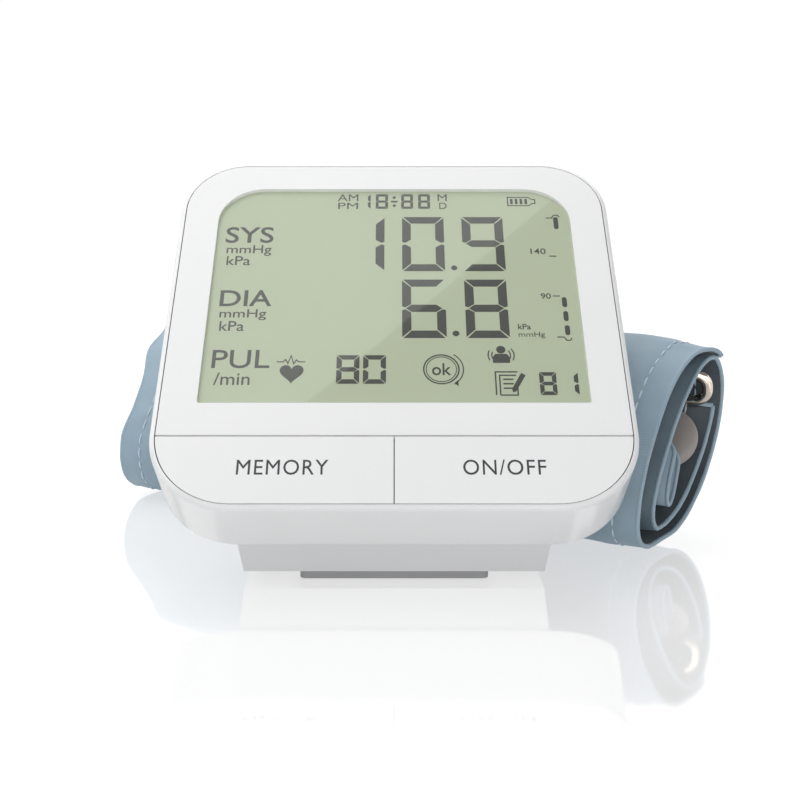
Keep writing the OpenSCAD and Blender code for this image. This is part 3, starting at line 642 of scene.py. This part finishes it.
ALONG_MID, U_LOW, HALF = middle_of_roll()
plan = [oval(CAD_START + 12 * i, 0.0) for i in range(58)]   # the CAD spiral, every 12 degrees
ROLL_ORIGIN = (ALONG_MID + BEHIND * (U_LOW - min(p[0] for p in plan) * MM)
               + Vector((0, 0, CUFF_LOW.z - min(p[1] for p in plan) * MM)))
HALF_MM = HALF / MM


def in_roll(s, u, w):
    """Point s along the roll, u behind and w above its middle, in mm."""
    return ROLL_ORIGIN + ALONG * (s * MM) + BEHIND * (u * MM) + Vector((0, 0, w * MM))


def ripple(a, s):
    """Soft unevenness of the fabric, in mm; it grows towards the two open ends."""
    q = noise.noise(Vector((s * 0.028, a * 0.012, 3.1))) * 0.5
    q += noise.noise(Vector((s * 0.07, a * 0.02, 7.7))) * 0.22
    end = max(0.0, abs(s) / HALF_MM - 0.72) / 0.28
    q += end * 0.5 * noise.noise(Vector((s * 0.03, a * 0.03, 11.9)))
    return q


def pucker(a, s, f):
    """Small gathers that the seam pulls into the fabric, in mm."""
    edge = min(f, 1 - f) * (2 * HALF_MM)
    return 0.5 * math.exp(-((edge - SEAM_AT) / 5) ** 2) * noise.noise(Vector((a * 0.11, s * 0.12, 4.4)))


def ease(x, low, high):
    """Smooth step from 0 at low to 1 at high."""
    k = min(1.0, max(0.0, (x - low) / (high - low)))
    return k * k * (3 - 2 * k)


def flare(a, s):
    """How far the loose lower corner stands out to the front and down at the open ends, in mm."""
    turn = (a - ZERO) // 360
    corner = math.exp(-((a % 360 - 232) / 38) ** 2)
    size = (1.0, 0.5, 0.25)[int(min(turn, 2))]
    right = ease(s, 50, 84) * FLARE_RIGHT
    left = ease(-s, 52, 78) * FLARE_LEFT
    return corner * size * (right + left)


def right_hem(a):
    """The right end's hem: it stands out further behind, where the roll is open to view."""
    u = oval(a, BAND / 2)[0]
    return HALF_MM + HEM_OUT + HEM_SLANT * u


def left_hem(a):
    """The left end was rolled less evenly: its hem steps in at the front and waves a little."""
    b = a % 360
    step = ease(b, 118, 150) * (1 - 0.45 * ease(b, 195, 215) - 0.55 * ease(b, 300, 350))
    step -= 0.68 * math.exp(-((b - 159) / 14) ** 2)
    return -HALF_MM + HEM_IN + HEM_STEP * step + 0.3 * math.sin(math.radians(5 * a))


def band_point(a, f, depth):
    """Point of the band: f runs from 0 at the left hem to 1 at the right one.

    The fabric is lifted where it would go through the floor or through the turn under it.
    """
    s = left_hem(a) + f * (right_hem(a) - left_hem(a))
    tuck = TUCK * ease(f, 0.88, 1.0) * (1 - ease(a, START, START + TUCK_ARC))
    u, w = oval(a, depth + tuck)
    t = math.radians(a)
    nu, nw = lean(math.cos(t) * ROLL_B, math.sin(t) * ROLL_A)
    size = math.hypot(nu, nw)
    r = ripple(a, s) + pucker(a, s, f)
    out = flare(a, s)
    z = w + nw / size * r - out * DROOP
    ground = -ROLL_ORIGIN.z / MM + FLOOR_GAP + TURN_RISE * ((a - ZERO) // 360) + depth
    above = z - ground
    return in_roll(s, u + nu / size * r - out, ground + (above + math.hypot(above, 0.5)) / 2)


def hem_thickness(f, length):
    """Half thickness of the padded band; it thins out to the bound hems."""
    edge = min(f, 1 - f) * length
    seam = math.exp(-((edge - SEAM_AT) / 0.8) ** 2)
    return 0.5 + 0.95 * ease(edge, 0, 12) - 0.2 * seam


def spread(x):
    """Evenly spaced columns drawn towards both hems, where the seams are."""
    return x - 0.115 * math.sin(2 * math.pi * x)


CLOTH_PER_DEGREE, CLOTH_WIDTH = 0.000436, 0.168          # metres, for the weave's coordinates


def band_sheet(name, a0, a1, f0, f1, mid, thick, rows, columns, material, body):
    """Closed sheet that follows the spiral; thick(f) gives its half thickness in mm."""
    verts, faces, uvs = [], [], []
    for side in (-1, 1):
        for i in range(rows + 1):
            a = a0 + (a1 - a0) * i / rows
            for j in range(columns + 1):
                f = f0 + (f1 - f0) * spread(j / columns)
                verts.append(band_point(a, f, mid + side * thick(f)))
                uvs.append((a * CLOTH_PER_DEGREE, f * CLOTH_WIDTH))
    n = columns + 1
    layer = (rows + 1) * n
    for i in range(rows):
        for j in range(columns):
            k = i * n + j
            faces.append((k, k + n, k + n + 1, k + 1))
            faces.append((layer + k, layer + k + 1, layer + k + n + 1, layer + k + n))
    for i in range(rows):
        for k in (i * n, i * n + columns):
            quad = (k, k + layer, k + layer + n, k + n)
            faces.append(quad if k % n == 0 else quad[::-1])
    for j in range(columns):
        for k in (j, rows * n + j):
            quad = (k, k + 1, k + 1 + layer, k + layer)
            faces.append(quad if k < n else quad[::-1])
    obj = add_mesh(name, verts, faces, material, body, smooth=True)
    mesh = obj.data
    layer_uv = mesh.uv_layers.new(name="weave")
    for loop in mesh.loops:
        layer_uv.data[loop.index].uv = uvs[loop.vertex_index]
    face_outward(mesh)
    return obj


def tube(name, path, radius, material, body, sides=10, wobble=0.0):
    """Round tube with closed ends along a path of points in metres; the radius is in mm."""
    verts, faces = [], []
    n = len(path)
    x = Vector((0, 0, 1))
    for i, p in enumerate(path):
        a, b = path[max(i - 1, 0)], path[min(i + 1, n - 1)]
        t = (b - a).normalized()
        x = x - t * x.dot(t)                 # carried along the path without a twist
        if x.length <= 0.15:
            x = t.orthogonal()
        x.normalize()
        y = t.cross(x)
        for j in range(sides):
            c = 2 * math.pi * j / sides
            r = radius * MM * (1 + wobble * noise.noise(Vector((i * 0.31, j * 0.9, 1.7))))
            verts.append(p + x * (math.cos(c) * r) + y * (math.sin(c) * r))
    for i in range(n - 1):
        for j in range(sides):
            k, m = i * sides, (i + 1) * sides
            faces.append((k + j, m + j, m + (j + 1) % sides, k + (j + 1) % sides))
    faces.append(tuple(range(sides)))
    faces.append(tuple(reversed(range((n - 1) * sides, n * sides))))
    obj = add_mesh(name, verts, faces, material, body, smooth=True)
    face_outward(obj.data)
    return obj


ROWS, COLUMNS = 228, 110
LENGTH = HALF_MM * 2 + HEM_OUT               # the band's flat width, from hem to hem
cuff = band_sheet("cuff_band", START, END, 0.0, 1.0, BAND / 2, lambda f: hem_thickness(f, LENGTH),
                  ROWS, COLUMNS, FABRIC, "cuff")
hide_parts("cuff_outer_cover", "cuff_inner_cover")
cuff.data.materials.append(NYLON_PAINTED_SHADE)
cuff.data.materials.append(NYLON_DEEP_PAINTED_SHADE)
# the outer turn's face keeps the plain nylon; the covered turns' faces and the band's inner face get
# darker copies of it, as painted shade
one_side = (ROWS + 1) * (COLUMNS + 1)
covered = 360 / (END - START) * ROWS
for polygon in cuff.data.polygons:
    # the inner face gets the darkest painted shade, the covered turns a lighter one
    on_inner_face = all(vertex >= one_side for vertex in polygon.vertices)
    row = min(vertex % one_side for vertex in polygon.vertices) // (COLUMNS + 1)
    polygon.material_index = 2 if on_inner_face else 1 if row > covered else 0

HEM_STEPS, END_STEPS = 230, 60
BINDING, END_HEM = 0.62, 0.7                 # radii in mm
for label, f in (("left", 0.0), ("right", 1.0)):
    path = [band_point(START + (END - START) * i / HEM_STEPS, f, BAND / 2) for i in range(HEM_STEPS + 1)]
    tube("cuff_binding_" + label, path, BINDING, PIPING, "cuff", wobble=0.15)
for label, a in (("outer", START), ("inner", END)):
    path = [band_point(a, i / END_STEPS, BAND / 2) for i in range(END_STEPS + 1)]
    tube("cuff_end_hem_" + label, path, END_HEM, PIPING, "cuff", wobble=0.15)


LONG, PAUSE, WIDE = 2.7, 0.9, 0.28           # a stitch's length, the pause after it, half its width
STITCH_STEPS, STITCH_SIDES = 4, 6


def stitches(name, f, face, a0, a1):
    """Row of pale thread stitches that follows a hem; face is -1 outside and 1 inside."""
    verts, faces = [], []
    a = a0
    jitter = random.Random(len(name))
    lift = BAND / 2 + face * (hem_thickness(f, LENGTH) + 0.02)
    while a < a1:
        u0, w0 = oval(a, BAND / 2)
        u1, w1 = oval(a + 1, BAND / 2)
        per_degree = max(0.08, math.hypot(u1 - u0, w1 - w0))
        span = LONG / per_degree * jitter.uniform(0.9, 1.1)
        points = []
        for k in range(STITCH_STEPS + 1):
            t = k / STITCH_STEPS
            rise = 0.2 * math.sin(math.pi * t) + 0.02
            points.append((band_point(a + span * t, f, lift + face * rise),
                           WIDE * (0.55 + 0.45 * math.sin(math.pi * t))))
        base = len(verts)
        for k, (p, w) in enumerate(points):
            q = points[min(k + 1, STITCH_STEPS)][0] - points[max(k - 1, 0)][0]
            q.normalize()
            x = ALONG - q * ALONG.dot(q)
            x.normalize()
            n = q.cross(x)
            for c in range(STITCH_SIDES):
                g = 2 * math.pi * c / STITCH_SIDES
                verts.append(p + x * (math.cos(g) * w * MM) + n * (math.sin(g) * w * 0.8 * MM))
        for k in range(STITCH_STEPS):
            i, j = base + k * STITCH_SIDES, base + (k + 1) * STITCH_SIDES
            for c in range(STITCH_SIDES):
                d = (c + 1) % STITCH_SIDES
                faces.append((i + c, j + c, j + d, i + d))
        faces.append(tuple(base + c for c in range(STITCH_SIDES)))
        last = base + STITCH_STEPS * STITCH_SIDES
        faces.append(tuple(last + c for c in reversed(range(STITCH_SIDES))))
        a += span + PAUSE / per_degree
    obj = add_mesh(name, verts, faces, THREAD, "cuff", smooth=True)
    face_outward(obj.data)
    return obj


for label, f in (("left", SEAM_AT / LENGTH), ("right", 1 - SEAM_AT / LENGTH)):
    for side, face in (("outside", -1), ("inside", 1)):
        stitches("cuff_stitches_%s_%s" % (label, side), f, face, START + 2, END - 4)

# hook tape on the outer end
HOOK_ARC, HOOK_HALF = 36, 0.42
hook = band_sheet("cuff_hook_tape", START, START + HOOK_ARC, 0.26, 0.74, -HOOK_HALF, lambda f: HOOK_HALF,
                  12, 60, HOOK, "cuff")
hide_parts("hook_patch")


# ---------------------------------------------------------------- closing flap, ring sleeve and air port
def spline(points, steps):
    """Smooth line through the points (Catmull-Rom)."""
    out = []
    for i in range(len(points) - 1):
        p0 = Vector(points[max(i - 1, 0)])
        p1, p2 = Vector(points[i]), Vector(points[i + 1])
        p3 = Vector(points[min(i + 2, len(points) - 1)])
        for k in range(steps):
            t = k / steps
            out.append(0.5 * ((2 * p1) + (p2 - p0) * t + (2 * p0 - 5 * p1 + 4 * p2 - p3) * t * t
                              + (3 * p1 - p0 - 3 * p2 + p3) * t ** 3))
    out.append(Vector(points[-1]))
    return out


# the flap's line in the upright oval: down the front, around its loop and back up
FLAP = [(2.7, 14.3), (-1.1, 12.1), (-3.4, 8.4), (-4.6, 1.5), (-4.9, -6.0), (-4.4, -13.5), (-2.6, -17.6),
        (0.2, -18.2), (1.8, -14.6), (1.0, -8.0), (-1.0, 0.0), (-2.5, 6.3)]
FLAP_HALF, FLAP_LENGTH = 0.42, 0.16          # half its thickness in mm; its length along the roll in m
FLAP_LEFT, FLAP_REACH, FLAP_STEP = -79, 164.5, 9.0      # left end, reach to the right, cut-back of its top
flap_line = spline(FLAP, 6)


def flap_point(i, f, off):
    """Point of the flap: i counts along its line, f runs from its left end to its right hem."""
    a, b = flap_line[max(i - 1, 0)], flap_line[min(i + 1, len(flap_line) - 1)]
    t = (b - a).normalized()
    p = flap_line[i] + Vector((-t.y, t.x)) * off
    u, w = lean(p.x, p.y)
    s = FLAP_LEFT + f * (FLAP_REACH + 0.15 * u - FLAP_STEP * ease(p.y, -6.0, 6.0))
    r = 0.25 * noise.noise(Vector((s * 0.05, i * 0.1, 5.5)))
    return in_roll(s, u + r, w)


def flap_sheet():
    n, m = len(flap_line), 48
    verts = [flap_point(i, j / m, side * FLAP_HALF)
             for side in (-1, 1) for i in range(n) for j in range(m + 1)]
    layer, row = n * (m + 1), m + 1
    faces = []
    for i in range(n - 1):
        for j in range(m):
            k = i * row + j
            faces.append((k, k + row, k + row + 1, k + 1))
            faces.append((layer + k, layer + k + 1, layer + k + row + 1, layer + k + row))
        for k in (i * row, i * row + m):
            faces.append((k, k + layer, k + layer + row, k + row))
    for j in range(m):
        for k in (j, (n - 1) * row + j):
            faces.append((k, k + 1, k + 1 + layer, k + layer))
    obj = add_mesh("closing_flap_fabric", verts, faces, FABRIC, "cuff", smooth=True)
    uv = obj.data.uv_layers.new(name="weave")
    for loop in obj.data.loops:
        k = loop.vertex_index % layer
        uv.data[loop.index].uv = (k // row * 0.0009, k % row / m * FLAP_LENGTH)
    face_outward(obj.data)
    return obj


flap = flap_sheet()
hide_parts("closing_flap")
hem_line = [flap_point(i, 1.0, 0) for i in range(len(flap_line))]
flap_hem = tube("closing_flap_hem", hem_line, BINDING, PIPING, "cuff", sides=8)

ring_low, ring_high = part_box("ring_sleeve")
sleeve_mid = (ring_low + ring_high) / 2
half_sleeve = (ring_high.x - ring_low.x) / 2 / ALONG.x * 0.985
SLEEVE_OUTER, SLEEVE_INNER, SLEEVE_AROUND = 2.32, 1.86, 0.0146     # radii in mm; the wrap's width in m
sleeve_line = [sleeve_mid + ALONG * (half_sleeve * (i / 40 - 1)) for i in range(81)]


def sleeve():
    """Tunnel of fabric around the ring's bar, with an outer and an inner face."""
    verts, faces = [], []
    n, sides = len(sleeve_line), 20
    for r0 in (SLEEVE_OUTER, SLEEVE_INNER):
        for i, p in enumerate(sleeve_line):
            for j in range(sides):
                c = 2 * math.pi * j / sides
                r = r0 + (0.08 * math.sin(i * 0.9 + 2 * c) if r0 == SLEEVE_OUTER else 0.0)
                verts.append(p + BEHIND * (math.cos(c) * r * MM) + Vector((0, 0, math.sin(c) * r * MM)))
    layer = n * sides
    for i in range(n - 1):
        for j in range(sides):
            k, m = i * sides, (i + 1) * sides
            quad = (k + j, k + (j + 1) % sides, m + (j + 1) % sides, m + j)
            faces.append(quad)
            faces.append(tuple(layer + v for v in reversed(quad)))
    for i in (0, n - 1):
        for j in range(sides):
            k = i * sides
            quad = (k + j, layer + k + j, layer + k + (j + 1) % sides, k + (j + 1) % sides)
            faces.append(quad)
    # the sleeve takes the darker nylon copy, as painted shade
    obj = add_mesh("ring_sleeve_fabric", verts, faces, NYLON_PAINTED_SHADE, "cuff", smooth=True)
    uv = obj.data.uv_layers.new(name="weave")
    for loop in obj.data.loops:
        k = loop.vertex_index % layer
        uv.data[loop.index].uv = (k % sides * 0.0007, k // sides * 0.002)
    face_outward(obj.data)
    return obj


sleeve_piece = sleeve()
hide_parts("ring_sleeve")


def air_port():
    """Moulded port: a rounded disc and the round tongue that it is held by."""
    co = [v.co for v in NODES["cuff_air_port"].data.vertices]
    t_dir = (BEHIND * math.cos(LEAN) - Vector((0, 0, math.sin(LEAN))))
    q_dir = (BEHIND * math.sin(LEAN) + Vector((0, 0, math.cos(LEAN))))
    s0, s1 = min(ALONG.dot(c) for c in co), max(ALONG.dot(c) for c in co)
    t0, t1 = min(t_dir.dot(c) for c in co), max(t_dir.dot(c) for c in co)
    q0, q1 = min(q_dir.dot(c) for c in co), max(q_dir.dot(c) for c in co)
    radius = (q1 - q0) / 2
    mid = ALONG * (s1 - radius) + t_dir * ((t0 + t1) / 2) + q_dir * ((q0 + q1) / 2)
    half = (t1 - t0) / 2
    verts, faces = [], []
    rings, sides = 22, 48
    for i in range(rings + 1):
        g = math.pi * i / rings
        r = radius * abs(math.sin(g)) ** 0.55
        h = half * math.copysign(abs(math.cos(g)) ** 0.8, math.cos(g))
        if i in (0, rings):
            r = radius * 0.02
        for j in range(sides):
            c = 2 * math.pi * j / sides
            verts.append(mid + t_dir * h + ALONG * (math.cos(c) * r) + q_dir * (math.sin(c) * r))
    for i in range(rings):
        for j in range(sides):
            k, m = i * sides, (i + 1) * sides
            faces.append((k + j, k + (j + 1) % sides, m + (j + 1) % sides, m + j))
    faces.append(tuple(reversed(range(sides))))
    faces.append(tuple(range(rings * sides, (rings + 1) * sides)))
    obj = add_mesh("air_port_moulding", verts, faces, PORT, "cuff", smooth=True)
    face_outward(obj.data)
    tongue = []
    for i in range(13):
        f = i / 12
        tongue.append(mid + ALONG * (s0 - ALONG.dot(mid)) * (1 - f) + ALONG * (-radius * 0.6) * f)
    tube("air_port_tongue", tongue, 2.0, PORT, "cuff", sides=14)
    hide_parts("cuff_air_port")


air_port()

# ---------------------------------------------------------------- stage and light
WHITE = grey(1.0)


def floor_material():
    """White floor that glows more away from the object and less in reflections, with some gloss."""
    m = bpy.data.materials.new("floor_white_gloss")
    m.use_nodes = True
    tree = m.node_tree
    tree.nodes.clear()
    diffuse = tree.nodes.new("ShaderNodeBsdfDiffuse")
    diffuse.inputs["Color"].default_value = grey(0.3)
    distance = tree.nodes.new("ShaderNodeVectorMath")
    distance.operation = "LENGTH"
    tree.links.new(coords(tree), distance.inputs[0])
    fade = map_range(tree, distance.outputs["Value"], 0.2, 1.6, 0.82, 1.02)
    seen = tree.nodes.new("ShaderNodeLightPath").outputs["Is Camera Ray"]
    share = map_range(tree, seen, 0.0, 1.0, 0.54, 1.0)
    glow = tree.nodes.new("ShaderNodeEmission")
    glow.inputs["Color"].default_value = WHITE
    tree.links.new(math_node(tree, "MULTIPLY", fade, share), glow.inputs["Strength"])
    gloss = tree.nodes.new("ShaderNodeBsdfGlossy")
    gloss.inputs["Roughness"].default_value = 0.06
    gloss.inputs["Color"].default_value = WHITE
    matt = blend_shaders(tree, "ShaderNodeAddShader", diffuse, glow)
    surface = blend_shaders(tree, "ShaderNodeMixShader", matt, gloss)
    surface.inputs["Fac"].default_value = 0.32
    out = tree.nodes.new("ShaderNodeOutputMaterial")
    tree.links.new(surface.outputs[0], out.inputs["Surface"])
    return m


def background(tree, colour, strength):
    n = tree.nodes.new("ShaderNodeBackground")
    n.inputs["Color"].default_value = colour
    n.inputs["Strength"].default_value = strength
    return n


def studio_world():
    """White to the camera and to low reflections, a dim fill light to all else."""
    world = bpy.data.worlds.new("studio")
    world.use_nodes = True
    tree = world.node_tree
    tree.nodes.clear()
    ray = tree.nodes.new("ShaderNodeLightPath")
    height = tree.nodes.new("ShaderNodeSeparateXYZ")
    tree.links.new(tree.nodes.new("ShaderNodeTexCoord").outputs["Generated"], height.inputs[0])
    low = math_node(tree, "LESS_THAN", height.outputs["Z"], 0.5)
    low_gloss = math_node(tree, "MULTIPLY", low, ray.outputs["Is Glossy Ray"])
    bright = math_node(tree, "MAXIMUM", low_gloss, ray.outputs["Is Camera Ray"])
    fill = background(tree, (0.97, 0.985, 1, 1), 0.22)
    surface = blend_shaders(tree, "ShaderNodeMixShader", fill, background(tree, WHITE, 1.02))
    tree.links.new(bright, surface.inputs["Fac"])
    out = tree.nodes.new("ShaderNodeOutputWorld")
    tree.links.new(surface.outputs[0], out.inputs["Surface"])
    return world


floor_mesh = bpy.data.meshes.new("floor")
floor_mesh.from_pydata([(-4, -4, 0), (4, -4, 0), (4, 4, 0), (-4, 4, 0)], [], [(0, 1, 2, 3)])
floor_mesh.materials.append(floor_material())
floor = bpy.data.objects.new("floor", floor_mesh)
floor.location.z = -0.0002
SCENE.collection.objects.link(floor)
SCENE.world = studio_world()


def card(name, place, target, width, height, power, turn=0.0):
    """Soft rectangular light at a place, facing its target."""
    light = bpy.data.lights.new(name, "AREA")
    light.shape = "RECTANGLE"
    light.size = width
    light.size_y = height
    light.energy = power
    obj = bpy.data.objects.new(name, light)
    look = (Vector(target) - Vector(place)).to_track_quat("-Z", "Y")
    obj.rotation_mode = "QUATERNION"
    obj.rotation_quaternion = look @ Matrix.Rotation(turn, 3, "Z").to_quaternion()
    obj.location = place
    SCENE.collection.objects.link(obj)


card("key_softbox", (-0.36, 0.332, 0.7), (-0.36, 0.332, 0.0), 1.6, 1.1, 10.4, math.radians(39.9))
card("left_softbox", (-1.1, -0.8, 0.6), (0, 0.02, 0.05), 0.9, 0.9, 0.4)
card("right_softbox", (1.1, -0.9, 0.5), (0, 0.02, 0.05), 0.8, 0.8, 2.0)
card("front_softbox", (-0.1, -1.5, 0.45), (0, 0.0, 0.05), 1.4, 0.5, 5.6)

SCENE.view_settings.view_transform = "Standard"
SCENE.view_settings.look = "None"
